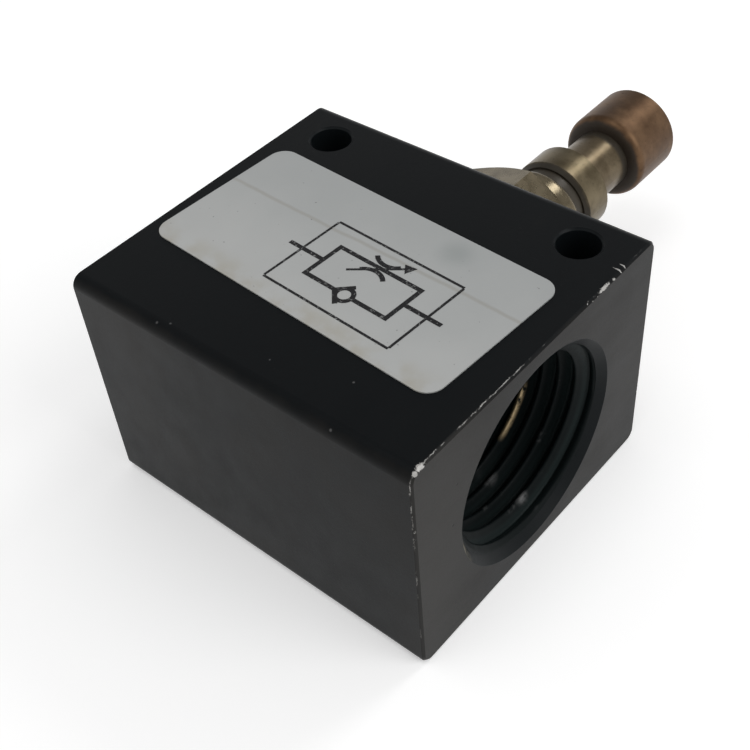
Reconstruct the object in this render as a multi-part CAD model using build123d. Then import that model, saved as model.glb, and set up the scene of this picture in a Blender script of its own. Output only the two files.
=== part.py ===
from build123d import *
import os
from math import radians, sqrt, tan

# One-way flow control valve, in millimetres.
# The origin is the middle of the block's bottom face. X is the flow, from port to port.
# Y points out along the adjusting unit, Z is up, towards the label.

# Block
block_length = 40.0
block_width = 35.0
block_height = 26.0
edge_radius = 1.2          # long edges of the drawn bar
end_edge_break = 0.25      # edges of the two sawn ends

# Ports, one in each end, threaded G 1/2
port_radius = 10.48        # major radius of the thread
port_depth = 12.0
port_rim = 0.77            # countersink at the mouth
port_offset = -0.3         # port axis from the middle of the block, along Y
port_height = 13.0

# Mounting holes, straight down through the block
mount_hole_radius = 2.1    # clearance for M4
mount_hole_spacing = 29.7
mount_hole_offset = 12.9   # row of holes from the middle of the block, along Y
mount_hole_rim = 0.2

# Cartridge bore, in from the side face at +Y
bonnet_thread_radius = 6.0
bonnet_thread_depth = 7.0
chamber_radius = 5.5
seat_depth = 19.5
seat_radius = 4.0
sump_margin = 0.5          # that the sump runs on past the supply way
drill_point = 118.0        # angle of the drill's point, in degrees

# Drilled ways from the ports' floors
supply_radius = 3.2        # from the -X port to the sump, under the seat
outlet_radius = 3.4        # from the +X port to the chamber, over the seat
supply_wall = 0.1          # left between the supply way and the seat
outlet_rise = 1.9          # from the seat to the outlet way

# Bonnet
bonnet_hex = 15.0          # across the flats
bonnet_hex_length = 8.0
bonnet_hex_turn = 20.0     # of a corner, from X towards Z, in degrees
hex_corner_cut = 30.0      # angle at which a hexagon's corners are turned off
collar_radius = 5.1
collar_length = 4.2
collar_edge = 0.8
boss_radius = 4.3          # step that the lock nut bears on
boss_length = 1.4
spigot_length = 3.9
clip_room_radius = 3.4
clip_room_depth = 2.4
stem_bore_length = 10.3
bonnet_groove_depth = 1.05
bonnet_groove_width = 1.8
bonnet_groove_lift = 1.1   # from the spigot's end to the groove

# Adjusting stem
stem_thread_radius = 3.45
stem_radius = 2.45
needle_radius = 1.95
needle_tip_radius = 0.9
needle_taper = 5.0
stem_thread_start = 5.5    # from the inner end of the bonnet's thread to that of the stem, as set
stem_groove_depth = 0.75
stem_groove_width = 1.6
stem_groove_lift = 6.3     # from the bonnet's stem bore to the groove, as set
thread_pitch = 0.75
turns_to_close = 7
turns_to_stop = 1

# Clip on the stem
clip_outer_radius = 3.0
clip_inner_radius = 1.5
clip_thickness = 0.6
clip_gap_angle = 60.0

# Lock nut, round, turned by hand
nut_radius = 4.95
nut_thickness = 4.3
nut_edge = 0.45

# Knob
neck_length = 6.1          # from the lock nut to the knob, as set
knob_radius = 5.05
knob_length = 7.8
knob_near_edge = 1.1
knob_far_edge = 0.5
knob_wall = 1.7            # at the closed end
spigot_radius = 2.0
set_screw_radius = 1.25
set_screw_length = 3.0
set_screw_socket = 1.3     # across the flats
set_screw_socket_depth = 1.2
spigot_flat = 0.3          # depth of the flat that the set screw bears on

# Check poppet
metering_radius = 2.0
poppet_radius = 4.9
poppet_thickness = 1.8
poppet_lift = 2.2
nozzle_radius = 3.0
nozzle_length = 1.2
leg_count = 4
leg_angle = 36.0
leg_turn = 45.0            # of the first leg, from X
leg_thickness = 0.92
seal_inner_radius = 3.4
seal_outer_radius = 4.75
seal_thickness = 0.9
seal_stand = 0.2           # height of the seal over the poppet's face

# Check spring
spring_radius = 4.1        # of the middle of the wire
spring_wire = 0.3          # radius of the wire
spring_coils = 4.5
spring_wire_sides = 6      # the round wire is drawn with flats

# Label
label_length = 35.0
label_width = 17.3
label_thickness = 0.12
label_corner = 1.75
label_x = -0.8
label_y = -0.7
label_turn = -3.3

# Gaps between pieces, on the radius
thread_gap = 0.05
running_gap = 0.05
leg_gap = 0.08
close_gap = 0.02
seal_corner = 0.3          # share of a squeezed seal's height that its corners round off
stop_gap = 0.1
shank_gap = 0.2            # from the bonnet's thread to the end of its bore

# Places along the adjusting unit's axis
axis_height = block_height / 2
face_y = block_width / 2
seat_y = face_y - seat_depth
supply_y = seat_y - supply_wall - supply_radius
outlet_y = seat_y + outlet_rise + outlet_radius
sump_y = supply_y - supply_radius - sump_margin
bonnet_thread_y = face_y - bonnet_thread_depth
hex_end_y = face_y + bonnet_hex_length
collar_end_y = hex_end_y + collar_length
boss_end_y = collar_end_y + boss_length
nut_end_y = boss_end_y + nut_thickness
knob_y = nut_end_y + neck_length
knob_end_y = knob_y + knob_length
shank_end_y = bonnet_thread_y + shank_gap
bonnet_end_y = shank_end_y - spigot_length
clip_stop_y = bonnet_end_y + clip_room_depth
stem_bore_end_y = clip_stop_y + stem_bore_length
poppet_face_y = seat_y + seal_stand
poppet_top_y = poppet_face_y + poppet_thickness
leg_top_y = bonnet_end_y - poppet_lift - stop_gap
clip_top_y = clip_stop_y - turns_to_stop * thread_pitch - running_gap
clip_y = clip_top_y - clip_thickness
groove_y = clip_stop_y + stem_groove_lift
closing_travel = turns_to_close * thread_pitch
land_y = poppet_face_y + poppet_thickness / 2 + closing_travel
spigot_end_y = knob_end_y - knob_wall - stop_gap
set_screw_y = (knob_y + spigot_end_y) / 2


def turned(*outline):
    # A lathe-turned shape about the adjusting unit's axis, from points (radius, y).
    section = make_face(Polyline(*outline, close=True))
    return Pos(0, 0, axis_height) * revolve(section, Axis.Y)


def rod(radius, start, end):
    return turned((0, start), (radius, start), (radius, end), (0, end))


def ring(inner, outer, start, end):
    return turned((inner, start), (outer, start), (outer, end), (inner, end))


def hexagon(across_flats, start, end, turn):
    # A hexagon bar with its corners turned off at the far end.
    plane = Plane(origin=(0, start, axis_height), x_dir=(1, 0, 0), z_dir=(0, 1, 0))
    shape = RegularPolygon(across_flats / 2, 6, major_radius=False, rotation=-turn)
    flat = across_flats / 2
    corner = across_flats / sqrt(3)
    cut = (corner - flat) * tan(radians(hex_corner_cut))
    envelope = turned((0, start), (corner, start), (corner, end - cut), (flat, end), (0, end))
    return extrude(plane * shape, end - start) & envelope


def along_x(radius, start, end, y, z):
    plane = Plane(origin=(start, y, z), x_dir=(0, 1, 0), z_dir=(1, 0, 0))
    return extrude(plane * Circle(radius), end - start)


def port(side):
    # The threaded bore and its countersunk rim; side is 1 or -1.
    outline = [
        (0, block_length / 2 - port_depth),
        (port_radius, block_length / 2 - port_depth),
        (port_radius, block_length / 2 - port_rim),
        (port_radius + port_rim, block_length / 2),
        (0, block_length / 2),
    ]
    bore = revolve(make_face(Polyline(*outline, close=True)), Axis.Y)
    return Pos(0, port_offset, port_height) * Rot(0, 0, -90 * side) * bore


def mount_hole(side):
    place = Pos(side * mount_hole_spacing / 2, mount_hole_offset, block_height / 2)
    hole = Cylinder(mount_hole_radius, block_height)
    rim = Cone(mount_hole_radius, mount_hole_radius + mount_hole_rim, mount_hole_rim)
    rim_place = Pos(0, 0, (block_height - mount_hole_rim) / 2)
    return place * (hole + rim_place * rim + Rot(180, 0, 0) * rim_place * rim)


def valve_body():
    block = Pos(0, 0, block_height / 2) * Box(block_length, block_width, block_height)
    block = fillet(block.edges().filter_by(Axis.X), edge_radius)
    ends = block.faces().filter_by(Axis.X)
    block = chamfer([edge for face in ends for edge in face.outer_wire().edges()], end_edge_break)
    point_y = sump_y - seat_radius / tan(radians(drill_point / 2))
    cartridge = turned(
        (0, face_y), (bonnet_thread_radius, face_y), (bonnet_thread_radius, bonnet_thread_y),
        (chamber_radius, bonnet_thread_y), (chamber_radius, seat_y), (seat_radius, seat_y),
        (seat_radius, sump_y), (0, point_y),
    )
    floor = block_length / 2 - port_depth
    supply = along_x(supply_radius, -floor, 0, supply_y, axis_height)
    outlet = along_x(outlet_radius, 0, floor, outlet_y, axis_height)
    return block - port(1) - port(-1) - mount_hole(1) - mount_hole(-1) - cartridge - supply - outlet


def label():
    shape = RectangleRounded(label_length, label_width, label_corner)
    return Pos(label_x, label_y, block_height) * Rot(0, 0, label_turn) * extrude(shape, label_thickness)


def bonnet():
    head = hexagon(bonnet_hex, face_y, hex_end_y, bonnet_hex_turn)
    spigot = chamber_radius - running_gap
    groove = spigot - bonnet_groove_depth
    groove_low = bonnet_end_y + bonnet_groove_lift
    turned_part = turned(
        (0, bonnet_end_y), (spigot, bonnet_end_y), (spigot, groove_low), (groove, groove_low),
        (groove, groove_low + bonnet_groove_width), (spigot, groove_low + bonnet_groove_width),
        (spigot, shank_end_y), (bonnet_thread_radius - thread_gap, shank_end_y),
        (bonnet_thread_radius - thread_gap, face_y), (boss_radius, face_y),
        (boss_radius, boss_end_y), (0, boss_end_y),
    )
    collar = rod(collar_radius, face_y, collar_end_y)
    collar = fillet(collar.edges().sort_by(Axis.Y)[-1], collar_edge)
    way = turned(
        (0, bonnet_end_y), (clip_room_radius, bonnet_end_y), (clip_room_radius, clip_stop_y),
        (stem_radius + running_gap, clip_stop_y), (stem_radius + running_gap, stem_bore_end_y),
        (stem_thread_radius + thread_gap, stem_bore_end_y),
        (stem_thread_radius + thread_gap, boss_end_y), (0, boss_end_y),
    )
    return head + collar + turned_part - way


def o_ring(inner, outer, start, end, gap):
    # A rubber ring as it lies squeezed in its groove.
    body = ring(inner + gap, outer - gap, start + gap, end - gap)
    return chamfer(body.edges(), (outer - inner) * seal_corner)


def bonnet_o_ring():
    start = bonnet_end_y + bonnet_groove_lift
    groove = chamber_radius - running_gap - bonnet_groove_depth
    return o_ring(groove, chamber_radius, start, start + bonnet_groove_width, close_gap)


def stem_o_ring():
    groove = stem_radius - stem_groove_depth
    bore = stem_radius + running_gap
    return o_ring(groove, bore, groove_y, groove_y + stem_groove_width, close_gap)


def needle_stem():
    groove = stem_radius - stem_groove_depth
    thread_y = stem_bore_end_y + stem_thread_start
    stem = turned(
        (0, land_y - needle_taper), (needle_tip_radius, land_y - needle_taper),
        (needle_radius, land_y), (needle_radius, clip_y), (clip_inner_radius, clip_y),
        (clip_inner_radius, clip_top_y), (stem_radius, clip_top_y), (stem_radius, groove_y),
        (groove, groove_y), (groove, groove_y + stem_groove_width),
        (stem_radius, groove_y + stem_groove_width), (stem_radius, thread_y),
        (stem_thread_radius, thread_y), (stem_thread_radius, knob_y),
        (spigot_radius, knob_y), (spigot_radius, spigot_end_y), (0, spigot_end_y),
    )
    flat_z = axis_height - spigot_radius + spigot_flat
    cutter = Pos(0, (knob_y + spigot_end_y) / 2, flat_z - spigot_flat)
    cutter *= Box(2 * spigot_radius, spigot_end_y - knob_y, 2 * spigot_flat)
    return stem - cutter


def stem_clip():
    # An open ring; the gap lets it snap into its groove.
    clip = ring(clip_inner_radius, clip_outer_radius, clip_y, clip_top_y)
    gap_width = 2 * clip_inner_radius * tan(radians(clip_gap_angle / 2))
    gap = Pos(0, clip_y + clip_thickness / 2, axis_height + clip_outer_radius / 2)
    return clip - gap * Box(gap_width, clip_thickness, clip_outer_radius)


def lock_nut():
    bore = stem_thread_radius + thread_gap
    return turned(
        (bore, boss_end_y), (nut_radius - nut_edge, boss_end_y), (nut_radius, boss_end_y + nut_edge),
        (nut_radius, nut_end_y - nut_edge), (nut_radius - nut_edge, nut_end_y), (bore, nut_end_y),
    )


def knob():
    body = rod(knob_radius, knob_y, knob_end_y)
    body = chamfer(body.edges().sort_by(Axis.Y)[-1], knob_far_edge)
    body = fillet(body.edges().sort_by(Axis.Y)[0], knob_near_edge)
    bore = rod(spigot_radius + close_gap, knob_y, spigot_end_y + stop_gap)
    screw_hole = Pos(0, set_screw_y, axis_height - knob_radius / 2)
    return body - bore - screw_hole * Cylinder(set_screw_radius + close_gap, knob_radius)


def knob_set_screw():
    tip_z = axis_height - spigot_radius + spigot_flat
    screw = Pos(0, set_screw_y, tip_z - set_screw_length / 2) * Cylinder(set_screw_radius, set_screw_length)
    plane = Plane(origin=(0, set_screw_y, tip_z - set_screw_length), z_dir=(0, 0, 1))
    socket = RegularPolygon(set_screw_socket / 2, 6, major_radius=False)
    return screw - extrude(plane * socket, set_screw_socket_depth)


def check_poppet():
    leg_outer = chamber_radius - leg_gap
    body = turned(
        (metering_radius, poppet_face_y - nozzle_length),
        (nozzle_radius, poppet_face_y - nozzle_length), (nozzle_radius, poppet_face_y),
        (poppet_radius, poppet_face_y), (poppet_radius, poppet_top_y),
        (metering_radius, poppet_top_y),
    )
    seal_top_y = seat_y + seal_thickness
    body -= ring(seal_inner_radius, seal_outer_radius, poppet_face_y, seal_top_y)
    skirt = ring(leg_outer - leg_thickness, leg_outer, poppet_face_y, leg_top_y)
    seal_room = rod(seal_outer_radius, poppet_face_y, seal_top_y)
    for index in range(leg_count):
        middle = index * 360 / leg_count + leg_turn
        wedge = extrude(leg_sector(middle), leg_top_y - poppet_face_y)
        body += (skirt & wedge) - seal_room
    return body


def leg_sector(middle):
    # A sector of a circle wide enough for one leg, drawn across the axis.
    plane = Plane(origin=(0, poppet_face_y, axis_height), x_dir=(1, 0, 0), z_dir=(0, 1, 0))
    reach = 2 * chamber_radius
    half = radians(leg_angle / 2)
    triangle = Polygon((0, 0), (reach, -reach * tan(half)), (reach, reach * tan(half)), align=None)
    return plane * Rot(0, 0, middle) * triangle


def poppet_seal():
    return ring(seal_inner_radius, seal_outer_radius, seat_y, seat_y + seal_thickness)


def check_spring():
    # A coil spring with ground ends: the helix runs past both seats and is cut off flat.
    length = bonnet_end_y - poppet_top_y
    pitch = (length - spring_wire) / spring_coils
    path = Helix(pitch, length + spring_wire, spring_radius)
    section = RegularPolygon(spring_wire, spring_wire_sides)
    wire = sweep(Plane(path @ 0, z_dir=path % 0) * section, path, is_frenet=True)
    coil = Pos(0, poppet_top_y - spring_wire / 2, axis_height) * Rot(-90, 0, 0) * wire
    outer = spring_radius + 2 * spring_wire
    return coil & rod(outer, poppet_top_y, bonnet_end_y)


pieces = {
    "valve_body": valve_body,
    "label": label,
    "bonnet": bonnet,
    "bonnet_o_ring": bonnet_o_ring,
    "stem_o_ring": stem_o_ring,
    "needle_stem": needle_stem,
    "stem_clip": stem_clip,
    "lock_nut": lock_nut,
    "knob": knob,
    "knob_set_screw": knob_set_screw,
    "check_poppet": check_poppet,
    "poppet_seal": poppet_seal,
    "check_spring": check_spring,
}

os.makedirs("parts", exist_ok=True)
for name, make in pieces.items():
    export_step(make(), f"parts/{name}.step")
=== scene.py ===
import math

import bmesh
import bpy
from mathutils import Matrix, Quaternion, Vector


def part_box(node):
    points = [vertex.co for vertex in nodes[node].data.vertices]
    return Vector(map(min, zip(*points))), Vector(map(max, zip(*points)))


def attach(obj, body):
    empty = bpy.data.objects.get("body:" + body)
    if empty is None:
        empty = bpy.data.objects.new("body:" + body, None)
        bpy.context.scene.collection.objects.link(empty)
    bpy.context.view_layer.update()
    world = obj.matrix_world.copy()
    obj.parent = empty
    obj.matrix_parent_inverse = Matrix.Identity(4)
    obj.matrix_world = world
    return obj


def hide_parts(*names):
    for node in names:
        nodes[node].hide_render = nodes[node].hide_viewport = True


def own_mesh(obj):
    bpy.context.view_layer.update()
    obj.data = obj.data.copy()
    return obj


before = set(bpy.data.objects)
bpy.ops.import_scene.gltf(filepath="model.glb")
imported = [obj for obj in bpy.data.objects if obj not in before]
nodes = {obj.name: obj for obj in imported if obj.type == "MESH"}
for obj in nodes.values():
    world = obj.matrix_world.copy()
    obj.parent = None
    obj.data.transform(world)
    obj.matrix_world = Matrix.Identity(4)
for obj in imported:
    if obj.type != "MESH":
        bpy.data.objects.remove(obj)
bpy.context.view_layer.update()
mm = 0.001

# Camera, at the photograph's viewpoint

camera = {
    "place": (0.05876, -0.06056, 0.09365),
    "target": (0.00104, -0.00247, 0.0130),
    "roll": -6.18,          # degrees about the line of sight
    "lens": 57.3,
    "sensor": 36.0,
    "shift": (0.0181, 0.0069),
    "clip": (0.01, 10.0),
}


def makeCamera():
    data = bpy.data.cameras.new("camera")
    data.lens = camera["lens"]
    data.sensor_width = camera["sensor"]
    data.shift_x, data.shift_y = camera["shift"]
    data.clip_start, data.clip_end = camera["clip"]
    made = bpy.data.objects.new("camera", data)
    bpy.context.scene.collection.objects.link(made)
    place = Vector(camera["place"])
    sight = Vector(camera["target"]) - place
    level = sight.to_track_quat("-Z", "Y")
    turn = Quaternion((0, 0, 1), math.radians(camera["roll"]))
    made.matrix_world = Matrix.Translation(place) @ (level @ turn).to_matrix().to_4x4()
    bpy.context.scene.camera = made


makeCamera()
bpy.context.scene.view_settings.view_transform = "Standard"
print("camera placed")


# Shader maths: a Wire is one output socket, and arithmetic on it adds Math nodes

class Wire:
    def __init__(self, sheet, socket):
        self.sheet = sheet
        self.socket = socket

    def maths(self, operation, *values):
        return self.sheet.node("Math", {"operation": operation}, dict(enumerate(values)))

    def __add__(self, other):
        return self.maths("ADD", self, other)

    def __radd__(self, other):
        return self.maths("ADD", other, self)

    def __sub__(self, other):
        return self.maths("SUBTRACT", self, other)

    def __rsub__(self, other):
        return self.maths("SUBTRACT", other, self)

    def __mul__(self, other):
        return self.maths("MULTIPLY", self, other)

    def __rmul__(self, other):
        return self.maths("MULTIPLY", other, self)

    def __truediv__(self, other):
        return self.maths("DIVIDE", self, other)

    def __abs__(self):
        return self.maths("ABSOLUTE", self)

    def larger(self, other):
        return self.maths("MAXIMUM", self, other)

    def smaller(self, other):
        return self.maths("MINIMUM", self, other)

    def root(self):
        return self.maths("SQRT", self)

    def step(self, low, high):
        # 0 below low, 1 above high and a smooth rise between them
        return self.sheet.node("MapRange", {"interpolation_type": "SMOOTHSTEP"},
                               {"Value": self, "From Min": low, "From Max": high})


class Sheet:
    def __init__(self, owner):
        owner.use_nodes = True
        self.owner = owner
        self.tree = owner.node_tree
        self.tree.nodes.clear()

    def node(self, kind, settings=None, sockets=None, output=0):
        made = self.tree.nodes.new("ShaderNode" + kind)
        for key, value in (settings or {}).items():
            setattr(made, key, value)
        for key, value in (sockets or {}).items():
            if isinstance(value, Wire):
                self.tree.links.new(value.socket, made.inputs[key])
            else:
                made.inputs[key].default_value = value
        return Wire(self, made.outputs[output]) if made.outputs else None

    def mix(self, share, first, second):
        made = self.tree.nodes.new("ShaderNodeMix")
        made.data_type = "RGBA"
        for index, value in ((0, share), (6, first), (7, second)):
            if isinstance(value, Wire):
                self.tree.links.new(value.socket, made.inputs[index])
            else:
                made.inputs[index].default_value = value
        return Wire(self, made.outputs[2])

    def millimetres(self, turn=0.0, centre=(0, 0, 0)):
        # Object coordinates in millimetres, from a centre and turned about Z
        place = self.node("TexCoord", output=3)
        return self.node("Mapping", {"vector_type": "TEXTURE"}, {
            "Vector": place, "Location": tuple(c * mm for c in centre),
            "Rotation": (0, 0, math.radians(turn)), "Scale": (mm, mm, mm)})

    def axes(self, vector):
        parts = self.tree.nodes.new("ShaderNodeSeparateXYZ")
        self.tree.links.new(vector.socket, parts.inputs[0])
        return [Wire(self, socket) for socket in parts.outputs]

    def stretched(self, vector, scale):
        return self.node("VectorMath", {"operation": "MULTIPLY"}, {0: vector, 1: scale})

    def noise(self, vector, scale, detail=3.0, roughness=0.5):
        return self.node("TexNoise", None, {"Vector": vector, "Scale": scale, "Detail": detail,
                                            "Roughness": roughness})

    def marks(self, place, marks, core=0.0):
        # a mask of round marks, each a centre and a radius, that fade out from core times the radius
        mask = None
        for centre, radius in marks:
            apart = self.node("VectorMath", {"operation": "DISTANCE"}, {0: place, 1: centre}, output=1)
            mark = 1 - apart.step(radius * core, radius)
            mask = mark if mask is None else mask.larger(mark)
        return mask

    def bump(self, height, strength, distance):
        return self.node("Bump", None, {"Height": height, "Strength": strength, "Distance": distance})

    def surface(self, **sockets):
        named = {key.replace("_", " "): value for key, value in sockets.items()}
        shader = self.node("BsdfPrincipled", None, named)
        self.node("OutputMaterial", None, {"Surface": shader})
        return self.owner


def newSheet(name):
    return Sheet(bpy.data.materials.new(name))


def grey(value):
    return (value, value, value, 1.0)


# Finishes

port = {
    "axis": (-0.3, 13.0),     # y and z of the ports' common axis
    "major": 10.48,
    "rim": 11.25,             # countersink's radius at the end
    "end": 20.0,              # x of the block's end
}

anodised = {
    "black": (0.0026, 0.0036, 0.0044, 1.0),
    "fadedAndTopShade": (0.0092, 0.0088, 0.0082, 1.0),    # where handling has dulled the dye; held off the top as painted shade
    "haze": (0.0260, 0.0250, 0.0230, 1.0),     # paler and browner round the near corner
    "bare": (0.50, 0.49, 0.47, 1.0),
    "paintedHoleShade": (0.0060, 0.0080, 0.0090, 1.0),     # painted shade inside the holes, the countersinks and the holes' rims
    "paintedPortLight": (0.0150, 0.0220, 0.0220, 1.0),     # painted light inside the ports, lifting the shade in the grooves
    "pit": (0.0016, 0.0016, 0.0018, 1.0),
    "gold": (0.25, 0.225, 0.17, 1.0),          # rubbed by fittings on the countersink
    "roughness": 0.40,
    "gloss": 0.105,
    "edge": 1.2,              # radius of the block's long edges, mm
    "chipWidth": 0.45,        # mm, how far the chips reach in from an end's edge
    "wholeLine": {"place": (-17, 13), "reach": (256, 42)},   # y and z, and squares of the reach
    "holes": (14.85, 12.9, 2.35),   # x, y and radius over the rim of the mounting holes
    "rub": {"radius": 10.98, "side": 9.4, "height": -2.2},   # on the near port's countersink
    "hazed": {"place": (-17.0, 5.0), "reach": (2.0, 12.0)},  # y and z near the corner, mm
    "nicks": [                # centre and half sizes of single knocks, mm
        ((19.85, -16.2, 25.88), (0.22, 0.46, 0.24)),
        ((19.88, -16.95, 25.75), (0.18, 0.30, 0.22)),
        ((19.90, 9.1, 25.90), (0.13, 0.62, 0.18)),
        ((19.92, 10.6, 25.86), (0.09, 0.16, 0.14)),
        ((19.64, 11.75, 25.98), (0.44, 0.08, 0.26)),
        ((19.72, 12.45, 25.96), (0.34, 0.07, 0.22)),
    ],
    "pits": [((20, -12.02, 20.07), 0.16), ((20, -12.72, 15.51), 0.19)],   # centre and radius
    "specks": [               # pale dust on the top, centre and radius
        ((-8.8, -16.8, 25.8), 0.20),
        ((-7.6, -16.3, 25.95), 0.16),
        ((2.6, -14.5, 26.0), 0.11),
        ((10.0, -12.4, 26.0), 0.15),
        ((11.7, -17.2, 25.6), 0.18),
    ],
    "dust": 0.07,             # grey of the fine dust
    "speck": 0.25,            # grey of the single specks
}


def anodisedFinish():
    look = anodised
    sheet = newSheet("black_anodised")
    low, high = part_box("valve_body")
    half = [(high[i] - low[i]) / 2 / mm for i in range(3)]
    place = sheet.millimetres(centre=(0, 0, half[2]))
    x, y, z = sheet.axes(place)
    # distance in from the nearest edge of an end face
    overY = abs(y) - (half[1] - look["edge"])
    overZ = abs(z) - (half[2] - look["edge"])
    outY, outZ = overY.larger(0), overZ.larger(0)
    profile = (outY * outY + outZ * outZ).root() + overY.larger(overZ).smaller(0) - look["edge"]
    inset = (half[0] - abs(x)) - profile
    grain = sheet.noise(place, 2.6, 5.0, 0.68)
    patches = sheet.noise(place, 0.27, 2.0)
    worn = (grain - 0.5) + (patches - 0.5) * 1.1 - inset / look["chipWidth"] * 0.34
    chips = worn.step(0.10, 0.14)
    # a fine ragged line where the end's bevel meets the sides, unbroken round one corner
    across = half[0] - abs(x) + profile + (grain - 0.5) * 0.55
    ragged = sheet.noise(place, 0.8, 5.0, 0.7).step(0.45, 0.62)
    wy, wz = y - look["wholeLine"]["place"][0], z - look["wholeLine"]["place"][1]
    reachY, reachZ = look["wholeLine"]["reach"]
    beyond = (wy * wy / reachY + wz * wz / reachZ).root().step(0.6, 1.2)
    ragged = ragged * (1 - beyond * patches.step(0.66, 0.50)) * (1 - inset.step(0.5, 0.8))
    chips = chips.larger((1 - abs(across - 0.15).step(0.02, 0.09)) * ragged * 0.7)
    grit = sheet.noise(place, 7.0, 4.0, 0.7)
    for centre, sizes in look["nicks"]:
        offset = sheet.millimetres(centre=centre)
        apart = sheet.node("VectorMath", {"operation": "DIVIDE"}, {0: offset, 1: sizes})
        apart = sheet.node("VectorMath", {"operation": "LENGTH"}, {0: apart}, output=1)
        apart = apart + (grain - 0.5) * 2.0 + (grit - 0.5) * 2.2
        chips = chips.larger(0.9 - apart.step(0.80, 1.25) * 0.9)
    # the ports' countersinks and the inside of every hole
    ry = y - port["axis"][0]
    reach = (ry * ry + z * z).root()
    sink = (1 - reach.step(port["rim"] - 0.05, port["rim"] + 0.12)) * (abs(x) - 7.0).step(0.0, 0.5)
    # painted light over the ports' walls beyond the countersinks
    paintedPortLight = sink * (1 - abs(x).step(18.4, 19.2))
    hx, hy = abs(x) - look["holes"][0], y - look["holes"][1]
    bore = 1 - (hx * hx + hy * hy).root().step(look["holes"][2] - 0.22, look["holes"][2] + 0.02)
    rub = look["rub"]
    rubbed = (1 - abs(reach - rub["radius"]).step(0.12, 0.32)) * (ry * -1 - rub["side"]).step(0.0, 0.6)
    rubbed = rubbed * (1 - abs(z - rub["height"]).step(1.6, 3.4))
    rubbed = rubbed * sheet.noise(place, 1.3, 3.0).step(0.34, 0.60) * x.step(18.0, 19.0)
    # dye dulled by handling at random, and paler on the ends; painted shade keeps the top darker
    cloud = sheet.noise(place, 0.09, 3.0)
    smear = sheet.noise(sheet.stretched(place, (1.0, 0.35, 0.8)), 0.35, 4.0, 0.6)
    fadedAndTopShade = cloud * 0.6 + smear * 0.4 + (abs(x) - half[0]).step(-0.35, 0.0) * 0.16
    fadedAndTopShade = (fadedAndTopShade - (z - half[2]).step(-0.35, 0.0) * 0.20).step(0.38, 0.72)
    # small marks, placed from the block's bottom face as the CAD is
    base = sheet.millimetres()
    pits = sheet.noise(place, 3.1, 2.0).step(0.735, 0.775).larger(sheet.marks(base, look["pits"], 0.5))
    dust = sheet.noise(place, 6.5, 2.0).step(0.70, 0.80) * 0.10
    specks = sheet.marks(base, look["specks"], 0.3) * 0.32
    cy, cz = y - look["hazed"]["place"][0], z - look["hazed"]["place"][1]
    corner = (cy * cy + cz * cz * 0.16).root()
    haze = (1 - corner.step(*look["hazed"]["reach"])) * (x - half[0]).step(-0.4, 0.0)
    haze = haze * (0.5 + smear * 0.7)
    # random dulled dye, paler ends, and a painted darker top
    colour = sheet.mix(fadedAndTopShade, look["black"], look["fadedAndTopShade"])
    colour = sheet.mix(haze, colour, look["haze"])
    colour = sheet.mix(dust, colour, grey(look["dust"]))
    colour = sheet.mix(specks, colour, grey(look["speck"]))
    # painted shade in the countersinks, the port bores, the mounting holes and their rims
    colour = sheet.mix(sink.larger(bore), colour, look["paintedHoleShade"])
    colour = sheet.mix(paintedPortLight, colour, look["paintedPortLight"])
    colour = sheet.mix(pits * 0.8, colour, look["pit"])
    colour = sheet.mix(rubbed * 0.75, colour, look["gold"])
    colour = sheet.mix(chips, colour, look["bare"])
    metal = (chips * 0.55).larger(rubbed * 0.5)
    matt = sheet.noise(place, 3.2, 4.0)
    rough = look["roughness"] + (matt - 0.5) * 0.08 + (smear - 0.5) * 0.20
    rough = rough * (1 - metal) + metal * 0.45
    fine = sheet.noise(place, 14.0, 3.0, 0.6)
    height = fine * 0.5 + matt * 0.5 + smear * 0.8 - chips * 0.7 - pits
    return sheet.surface(Base_Color=colour, Metallic=metal, Roughness=rough, IOR=1.5,
                         Specular_IOR_Level=look["gloss"],
                         Normal=sheet.bump(height, 0.35, 0.03 * mm))


brass = {
    "bonnet": {"light": (0.205, 0.172, 0.116, 1), "dark": (0.108, 0.087, 0.054, 1), "rough": 0.26,
               "shadeAndGrime": [(30.5, 0.9)]},
    "nut": {"light": (0.178, 0.145, 0.092, 1), "dark": (0.098, 0.077, 0.046, 1), "rough": 0.34,
            "shadeAndGrime": [(31.0, 0.6)]},
    "stem": {"light": (0.185, 0.146, 0.094, 1), "dark": (0.098, 0.074, 0.045, 1), "rough": 0.34,
             "shadeAndGrime": [(35.3, 0.5), (41.3, 0.9)]},
    "knob": {"light": (0.165, 0.100, 0.057, 1), "dark": (0.092, 0.053, 0.030, 1), "rough": 0.46,
             "shadeAndGrime": [(41.3, 0.5)]},
    "poppet": {"light": (0.56, 0.45, 0.26, 1), "dark": (0.40, 0.31, 0.17, 1), "rough": 0.28, "shadeAndGrime": []},
}
# dark colour for the random dirt spots and for the painted shade between parts
shadeAndGrime = (0.020, 0.016, 0.011, 1)


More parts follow.
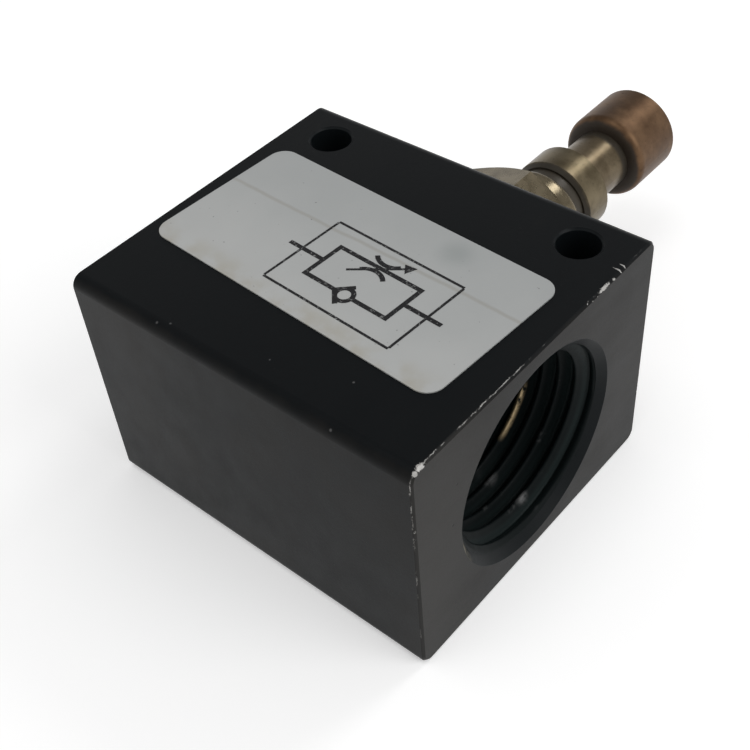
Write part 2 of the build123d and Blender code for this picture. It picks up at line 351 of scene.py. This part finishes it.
def brassFinish(name):
    look = brass[name]
    sheet = newSheet("brass_" + name)
    place = sheet.millimetres(centre=(0, 0, 13))
    cloud = sheet.noise(place, 0.34, 4.0, 0.6)
    turned = sheet.noise(sheet.stretched(place, (0.15, 9.0, 0.15)), 1.0, 3.0)
    spots = sheet.noise(place, 2.6, 3.0).step(0.60, 0.74)
    along = sheet.axes(place)[1]
    dirtAndShade = spots * 0.12
    for middle, half in look["shadeAndGrime"]:
        # painted shade in the gaps between parts; each is a middle and a half width along Y, mm
        shadeBand = 1 - abs(along - middle + (cloud - 0.5) * 0.5).step(half * 0.6, half * 1.2)
        dirtAndShade = dirtAndShade.larger(shadeBand * 0.85)
    colour = sheet.mix(cloud.step(0.3, 0.7), look["dark"], look["light"])
    colour = sheet.mix(spots * 0.35, colour, look["dark"])
    colour = sheet.mix(dirtAndShade, colour, shadeAndGrime)
    rough = look["rough"] + (cloud - 0.5) * 0.20 + spots * 0.12 + dirtAndShade * 0.2
    height = turned * 0.6 + sheet.noise(place, 9.0, 3.0) * 0.4
    return sheet.surface(Base_Color=colour, Metallic=1 - dirtAndShade * 0.8, Roughness=rough,
                         Normal=sheet.bump(height, 0.30, 0.02 * mm))


labelLook = {
    "paper": (0.440, 0.447, 0.440, 1),
    "farShade": (0.352, 0.364, 0.362, 1),     # painted shade, darker towards the far edge
    "aged": (0.34, 0.31, 0.24, 1),
    "creased": (0.27, 0.255, 0.22, 1),
    "shadeSpotColour": (0.20, 0.225, 0.22, 1),
    "speck": 0.08,            # grey of the dark specks
    "centre": (-0.8, -0.7, 26.0),
    "turn": -3.3,             # degrees
    "width": 17.3,            # across the label
    "crease": (2.34, 0.028),  # y of the crease at the label's middle, and its slope
    "shadeSpot": (7.3, 6.5),     # middle of a faint painted shadow
}


def labelFinish():
    look = labelLook
    sheet = newSheet("label_stock")
    place = sheet.millimetres(look["turn"], look["centre"])
    x, y = sheet.axes(place)[:2]
    cloud = sheet.noise(place, 0.12, 3.0)
    edge = y + look["width"] / 2
    stain = (1 - edge.step(0.0, 3.2)) * sheet.noise(place, 0.35, 3.0).step(0.35, 0.7)
    middle, slope = look["crease"]
    line = y - middle - x * slope + (sheet.noise(place, 0.2) - 0.5) * 0.5
    crease = 1 - abs(line).step(0.05, 0.32)
    specks = sheet.noise(place, 2.4, 1.0).step(0.77, 0.80)
    # random tone, with painted shade growing towards the far edge
    fade = (cloud * 0.5 + y * 0.03 + 0.25).step(0.1, 0.9)
    # a soft painted shadow on the label
    sx, sy = x - look["shadeSpot"][0], y - look["shadeSpot"][1]
    shadeSpot = 1 - (sx * sx + sy * sy).root().step(0.3, 2.6)
    colour = sheet.mix(fade, look["paper"], look["farShade"])
    colour = sheet.mix(stain * 0.55, colour, look["aged"])
    colour = sheet.mix(crease * 0.42, colour, look["creased"])
    colour = sheet.mix(shadeSpot * (cloud + 0.1) * 0.5, colour, look["shadeSpotColour"])
    colour = sheet.mix(specks * 0.6, colour, grey(look["speck"]))
    height = sheet.noise(place, 6.0, 3.0) * 0.3 - crease
    return sheet.surface(Base_Color=colour, Roughness=0.42 + (cloud - 0.5) * 0.15,
                         Normal=sheet.bump(height, 0.25, 0.03 * mm))


def plainFinish(name, colour, metallic, rough, scale, depth):
    # one finish for each small part that is seldom seen
    sheet = newSheet(name)
    place = sheet.millimetres()
    cloud = sheet.noise(place, scale, 4.0)
    dark = tuple(c * 0.72 for c in colour[:3]) + (1,)
    return sheet.surface(Base_Color=sheet.mix(cloud.step(0.25, 0.75), dark, colour), Metallic=metallic,
                         Roughness=rough + (cloud - 0.5) * 0.2,
                         Normal=sheet.bump(cloud, 0.3, depth * mm))


finishes = {
    "valve_body": anodisedFinish(),
    "label": labelFinish(),
    "bonnet": brassFinish("bonnet"),
    "lock_nut": brassFinish("nut"),
    "needle_stem": brassFinish("stem"),
    "knob": brassFinish("knob"),
    "check_poppet": brassFinish("poppet"),
}
rubber = plainFinish("nitrile_rubber", (0.022, 0.022, 0.023, 1), 0.0, 0.55, 2.5, 0.02)
springSteel = plainFinish("spring_steel", (0.58, 0.58, 0.57, 1), 1.0, 0.30, 3.0, 0.01)
blackSteel = plainFinish("black_oxide", (0.045, 0.045, 0.05, 1), 0.8, 0.42, 3.0, 0.02)
for name in ("bonnet_o_ring", "stem_o_ring", "poppet_seal"):
    finishes[name] = rubber
for name in ("stem_clip", "check_spring"):
    finishes[name] = springSteel
finishes["knob_set_screw"] = blackSteel


def dress(piece, finish):
    piece.data.materials.clear()
    piece.data.materials.append(finish)


for name, finish in finishes.items():
    dress(nodes[name], finish)
print("finishes assigned")


def addPiece(name, mesh, finish, smooth=True):
    # every new piece here is fixed to the housing
    data = bpy.data.meshes.new(name)
    mesh.to_mesh(data)
    mesh.free()
    if smooth:
        data.shade_smooth()
    data.materials.append(finish)
    piece = bpy.data.objects.new(name, data)
    bpy.context.scene.collection.objects.link(piece)
    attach(piece, "housing")
    return piece


# Port threads: a helical ridge in each port, with its crests cut by the countersink

portThread = {
    "crest": 9.32,
    "pitch": 1.814,
    "length": 11.2,
    "steps": 64,              # a turn
    "sink": 0.12,             # how far the ridge's foot goes into the wall
    "runOut": 0.75,           # from the block's end to where the last groove leaves the wall
    "turn": -139.0,           # of the thread's start round the port, degrees
    "black": (0.0050, 0.0075, 0.0078, 1.0),
    # brass colour of a painted glint along one stretch of crest
    "worn": (0.44, 0.34, 0.20, 1.0),
    "scuffAndGlintGrey": 0.30,          # grey of the scuffs and of the painted glints
    "roughness": 0.42,
    "gloss": 0.07,
    "glint": (12.45, 7.3, -5.3),    # middle of the painted brass glint along a crest, from the port's axis
    # painted highlights on the crests at the port's bottom, each a centre and a radius
    "paintedGlints": [((13.2, 1.5, -9.2), 1.3), ((17.3, 1.4, -9.2), 1.1), ((18.9, 1.6, -9.2), 1.0)],
}


def threadFinish():
    t = portThread
    sheet = newSheet("port_thread")
    place = sheet.millimetres(centre=(0, port["axis"][0], port["axis"][1]))
    x, y, z = sheet.axes(place)
    reach = (y * y + z * z).root()
    crest = 1 - reach.step(t["crest"] + 0.10, t["crest"] + 0.55)
    grain = sheet.noise(place, 1.5, 4.0, 0.6)
    gx, gy, gz = x - t["glint"][0], y - t["glint"][1], z - t["glint"][2]
    around = (gy * gy + gz * gz).root()
    # a painted brass glint: a metallic stretch of crest in brass colour
    worn = crest * (1 - around.step(2.0, 3.6)) * (1 - abs(gx).step(0.45, 0.95)) * grain.step(0.3, 0.5)
    # faint random scuffs on the crests, and painted highlights placed on the bottom crests
    scuffAndGlint = crest * sheet.noise(place, 0.5, 3.0).step(0.55, 0.72) * grain.step(0.45, 0.6) * 0.10
    scuffAndGlint = scuffAndGlint.larger(sheet.marks(place, t["paintedGlints"]) * (grain - 0.28) * 1.9)
    # painted light in the thread's grooves and on its flanks, lifting their shade
    paintedPortLight = reach.step(9.7, 10.3) * (1 - abs(x).step(18.0, 18.9))
    colour = sheet.mix(paintedPortLight, t["black"], anodised["paintedPortLight"])
    colour = sheet.mix(scuffAndGlint, colour, grey(t["scuffAndGlintGrey"]))
    colour = sheet.mix(worn, colour, t["worn"])
    fine = sheet.noise(place, 9.0, 3.0)
    return sheet.surface(Base_Color=colour, Metallic=worn,
                         Roughness=t["roughness"] + (grain - 0.5) * 0.25,
                         Specular_IOR_Level=t["gloss"], Normal=sheet.bump(fine, 0.3, 0.02 * mm))


def ridgeThread(name, side, finish):
    # the ridge is one tooth's outline, spun about X with an advance of a pitch a turn
    t = portThread
    p = t["pitch"]
    foot, root, crest = port["major"] + t["sink"], port["major"] - 0.02, t["crest"]
    outline = [(foot, 0.02 * p), (root, 0.02 * p), (root, 0.08 * p), (root - 0.10, 0.13 * p),
               (crest + 0.10, 0.39 * p), (crest, 0.45 * p), (crest, 0.55 * p), (crest + 0.10, 0.61 * p),
               (root - 0.10, 0.87 * p), (root, 0.92 * p), (root, 0.98 * p), (foot, 0.98 * p)]
    start = port["end"] - t["length"]
    turns = t["length"] / p + 1
    mesh = bmesh.new()
    corners = [mesh.verts.new((start + along - p, radius, 0)) for radius, along in outline]
    tooth = mesh.faces.new(corners)
    steps = int(turns * t["steps"])
    bmesh.ops.spin(mesh, geom=[tooth, *tooth.edges, *corners], cent=(0, 0, 0), axis=(1, 0, 0),
                   dvec=(p / t["steps"], 0, 0), angle=2 * math.pi * turns, steps=steps, use_merge=False)
    for vert in mesh.verts:
        # near the mouth the ridge is cut back to the countersink
        radius = math.hypot(vert.co.y, vert.co.z)
        least = vert.co.x - port["end"] + port["rim"]
        if radius < least:
            vert.co.yz = vert.co.yz * (least / radius)
    cut = bmesh.ops.bisect_plane(mesh, geom=[*mesh.verts, *mesh.edges, *mesh.faces], plane_no=(1, 0, 0),
                                 plane_co=(port["end"] - t["runOut"], 0, 0), clear_outer=True)
    rim = [part for part in cut["geom_cut"] if isinstance(part, bmesh.types.BMEdge)]
    bmesh.ops.holes_fill(mesh, edges=rim)
    bmesh.ops.scale(mesh, vec=(mm, mm, mm), verts=mesh.verts)
    turn = Matrix.Rotation(math.radians(t["turn"]), 3, "X")
    if side < 0:
        turn = Matrix.Rotation(math.pi, 3, "Z") @ turn
    bmesh.ops.rotate(mesh, cent=(0, 0, 0), matrix=turn, verts=mesh.verts)
    bmesh.ops.translate(mesh, vec=(0, port["axis"][0] * mm, port["axis"][1] * mm), verts=mesh.verts)
    bmesh.ops.recalc_face_normals(mesh, faces=mesh.faces)
    addPiece(name, mesh, finish)


threadBlack = threadFinish()
ridgeThread("outlet_thread", 1, threadBlack)
ridgeThread("inlet_thread", -1, threadBlack)
print("port threads made")


# Label print: the plain schematic of a one-way flow control, in dark ink

labelPrint = {
    "centre": (3.4, -1.6),    # on the label, mm
    "line": 0.46,
    "frameLine": 0.26,
    "frame": (7.6, 4.9),      # half sizes of the outline round the schematic
    "lead": 1.6,              # how far the line in and out runs past the outline
    "branch": (4.9, 2.3),     # half sizes of the two branches' loop
    "throat": (1.9, 0.55),    # radius of the throttle's arcs and half the gap between them
    "sweep": 96,              # degrees of each of those arcs
    "arrow": ((-2.3, 0.3), (2.1, 3.8)),
    "head": 0.75,
    "ball": 0.85,
    "seat": 1.9,              # length of each side of the check valve's seat
    "slant": 0.707,           # how far a side goes along and across, for its length
    "tip": 1.41,              # from the ball's middle to the seat's tip, in radii
    "face": 26.12,            # z of the label's face
    "thickness": 0.016,
    "layer": 0.0006,          # from one stroke's height to the next
    "ink": (0.011, 0.011, 0.012, 1),
    "roughness": 0.48,
    "gloss": 0.2,
}


def inkFinish():
    look = labelPrint
    sheet = newSheet("label_ink")
    place = sheet.millimetres(labelLook["turn"], labelLook["centre"])
    worn = sheet.noise(place, 3.4, 4.0, 0.65).step(0.56, 0.68)
    colour = sheet.mix(worn * 0.45, look["ink"], labelLook["paper"])
    return sheet.surface(Base_Color=colour, Roughness=look["roughness"] + worn * 0.1,
                         Specular_IOR_Level=look["gloss"])


def bar(mesh, start, end, width, height):
    # a straight stroke from start to end
    run = Vector(end) - Vector(start)
    middle = (Vector(end) + Vector(start)) / 2
    place = Matrix.Translation((*middle, height)) @ Matrix.Rotation(math.atan2(run.y, run.x), 4, "Z")
    place = place @ Matrix.Diagonal((run.length / 2, width / 2, 1, 1))
    bmesh.ops.create_grid(mesh, x_segments=1, y_segments=1, size=1, matrix=place)


def arc(mesh, centre, radius, start, sweep, width, steps, height):
    # a curved stroke: a short radial edge swept round its centre, angles in degrees
    middle = Vector((*centre, height))
    turn = Matrix.Rotation(math.radians(start), 3, "Z")
    ends = [mesh.verts.new(middle + turn @ Vector((radius + side * width / 2, 0, 0)))
            for side in (-1, 1)]
    edge = mesh.edges.new(ends)
    full = abs(sweep) == 360
    bmesh.ops.spin(mesh, geom=[edge, *ends], cent=middle, axis=(0, 0, 1),
                   angle=math.radians(sweep), steps=steps, use_merge=full)


def arrowHead(mesh, point, direction, size, height):
    place = Matrix.Translation((*point, height)) @ Matrix.Rotation(direction - math.pi / 2, 4, "Z")
    bmesh.ops.create_circle(mesh, cap_ends=True, segments=3, radius=size, matrix=place)


def printLabel():
    p = labelPrint
    line, thin = p["line"], p["frameLine"]
    fx, fy = p["frame"]
    bx, by = p["branch"]
    radius, gap = p["throat"]
    (ax, ay), (ex, ey) = p["arrow"]
    ball, slant = p["ball"], p["seat"] * p["slant"]
    tip = (-ball * p["tip"], -by)
    strokes = []              # start, end and width of each straight stroke
    for side in (-1, 1):
        strokes += [
            ((-fx, side * fy), (fx, side * fy), thin),
            ((side * fx, -fy + thin / 2), (side * fx, fy - thin / 2), thin),
            ((side * bx, 0), (side * (fx + p["lead"]), 0), line),
            ((side * bx, -by), (side * bx, by), line),
            ((side * (bx + line / 2), by), (0, by), line),
            (tip, (tip[0] + slant, -by + side * slant), line),
        ]
    strokes += [
        ((ax, ay), (ex, ey), thin),
        ((-bx - line / 2, -by), tip, line),
        ((ball, -by), (bx + line / 2, -by), line),
    ]
    mesh = bmesh.new()
    for order, (start, end, width) in enumerate(strokes):
        # each stroke lies a hair over the last, so no two share a plane where they cross
        bar(mesh, start, end, width, order * p["layer"])
    top = len(strokes) * p["layer"]
    # throttle: two arcs with their backs to the branch
    for side in (-1, 1):
        start = -90 * side - p["sweep"] / 2
        arc(mesh, (0, by + side * (radius + gap)), radius, start, p["sweep"], line, 12, top)
    # check valve: a ball against a seat of two lines
    arc(mesh, (0, -by), ball, 0, 360, line, 28, top)
    arrowHead(mesh, (ex, ey), math.atan2(ey - ay, ex - ax), p["head"], top)
    bmesh.ops.recalc_face_normals(mesh, faces=mesh.faces)
    sides = bmesh.ops.extrude_face_region(mesh, geom=mesh.faces[:])
    raised = [part for part in sides["geom"] if isinstance(part, bmesh.types.BMVert)]
    bmesh.ops.translate(mesh, vec=(0, 0, p["thickness"]), verts=raised)
    bmesh.ops.recalc_face_normals(mesh, faces=mesh.faces)
    bmesh.ops.translate(mesh, vec=(*p["centre"], 0), verts=mesh.verts)
    turn = Matrix.Rotation(math.radians(labelLook["turn"]), 3, "Z")
    bmesh.ops.rotate(mesh, cent=(0, 0, 0), matrix=turn, verts=mesh.verts)
    x, y = labelLook["centre"][:2]
    bmesh.ops.translate(mesh, vec=(x, y, p["face"]), verts=mesh.verts)
    bmesh.ops.scale(mesh, vec=(mm, mm, mm), verts=mesh.verts)
    addPiece("label_print", mesh, inkFinish(), smooth=False)


printLabel()
print("label printed")


# Check spring: a round wire coil with its ends ground flat

spring = {
    "radius": 4.1,
    "wire": 0.30,
    "coils": 4.5,
    "low": 0.0,               # y where it stands on the poppet
    "high": 6.8,              # y where it stops against the bonnet
    "lifted": 4.6,            # length with the poppet lifted
    "steps": 40,              # a turn
    "sides": 14,
}


def coilSpring():
    p = spring
    length = p["high"] - p["low"]
    rise = (length - p["wire"]) / p["coils"]
    turns = (length + p["wire"]) / rise
    mesh = bmesh.new()
    bmesh.ops.create_circle(mesh, cap_ends=True, segments=p["sides"], radius=p["wire"],
                            matrix=Matrix.Translation((p["radius"], 0, 0)))
    bmesh.ops.spin(mesh, geom=[*mesh.faces, *mesh.edges, *mesh.verts], cent=(0, 0, 0), axis=(0, 1, 0),
                   dvec=(0, rise / p["steps"], 0), angle=2 * math.pi * turns,
                   steps=int(turns * p["steps"]), use_merge=False)
    bmesh.ops.translate(mesh, vec=(0, p["low"] - p["wire"] / 2, port["axis"][1]), verts=mesh.verts)
    for place, way in ((p["low"], -1), (p["high"], 1)):
        cut = bmesh.ops.bisect_plane(mesh, geom=[*mesh.verts, *mesh.edges, *mesh.faces],
                                     plane_co=(0, place, 0), plane_no=(0, way, 0), clear_outer=True)
        rim = [part for part in cut["geom_cut"] if isinstance(part, bmesh.types.BMEdge)]
        bmesh.ops.holes_fill(mesh, edges=rim)
    bmesh.ops.scale(mesh, vec=(mm, mm, mm), verts=mesh.verts)
    bmesh.ops.recalc_face_normals(mesh, faces=mesh.faces)
    piece = addPiece("check_spring_coil", mesh, springSteel)
    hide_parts("check_spring")
    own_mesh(piece)


coilSpring()
print("check spring coiled")


# Studio: pale floor, soft lamps and a plain room

studio = {
    "floor": 3.0,             # half its side, metres
    "floorColour": (0.86, 0.86, 0.86, 1),
    "glow": 0.34,             # the floor's own light, for the camera and for reflections
    "aim": (0, 0, 0.013),     # the point that the lamps face
    "lamps": {
        "side": {"place": (0.55, 0.15, 0.50), "size": 0.50, "watts": 1.6},
        "front": {"place": (-0.25, -0.60, 0.55), "size": 0.60, "watts": 0.2},
        "over": {"place": (-0.06, -0.18, 0.85), "size": 0.40, "watts": 0.9},
        "back": {"place": (0.12, 0.55, 0.55), "size": 0.20, "watts": 0.8},
    },
    "horizon": 0.90,
    "ceiling": 0.44,
    "fade": (0.02, 0.45),     # heights of the view between which the one turns to the other
}


def makeStudio():
    mesh = bmesh.new()
    bmesh.ops.create_grid(mesh, x_segments=1, y_segments=1, size=studio["floor"])
    data = bpy.data.meshes.new("floor")
    mesh.to_mesh(data)
    mesh.free()
    floor = bpy.data.objects.new("floor", data)
    bpy.context.scene.collection.objects.link(floor)
    sheet = newSheet("floor_paper")
    path = sheet.tree.nodes.new("ShaderNodeLightPath")
    seen = Wire(sheet, path.outputs["Is Camera Ray"]).larger(Wire(sheet, path.outputs["Is Glossy Ray"]))
    seen = seen.larger(Wire(sheet, path.outputs["Is Transmission Ray"]))
    sheet.surface(Base_Color=studio["floorColour"], Roughness=0.9, Specular_IOR_Level=0.0,
                  Emission_Color=grey(1.0), Emission_Strength=seen * studio["glow"])
    dress(floor, sheet.owner)
    for name, lamp in studio["lamps"].items():
        light = bpy.data.lights.new(name, "AREA")
        light.shape = "DISK"
        light.size = lamp["size"]
        light.energy = lamp["watts"]
        made = bpy.data.objects.new(name, light)
        bpy.context.scene.collection.objects.link(made)
        made.location = lamp["place"]
        aim = Vector(studio["aim"]) - Vector(lamp["place"])
        made.rotation_euler = aim.to_track_quat("-Z", "Y").to_euler()
    world = bpy.data.worlds.new("room")
    bpy.context.scene.world = world
    room = Sheet(world)
    direction = room.node("TexCoord", output=0)
    rise = room.axes(direction)[2]
    colour = room.mix(rise.step(*studio["fade"]), grey(studio["horizon"]), grey(studio["ceiling"]))
    room.node("OutputWorld", None, {"Surface": room.node("Background", None, {"Color": colour})})


makeStudio()
print("studio made")
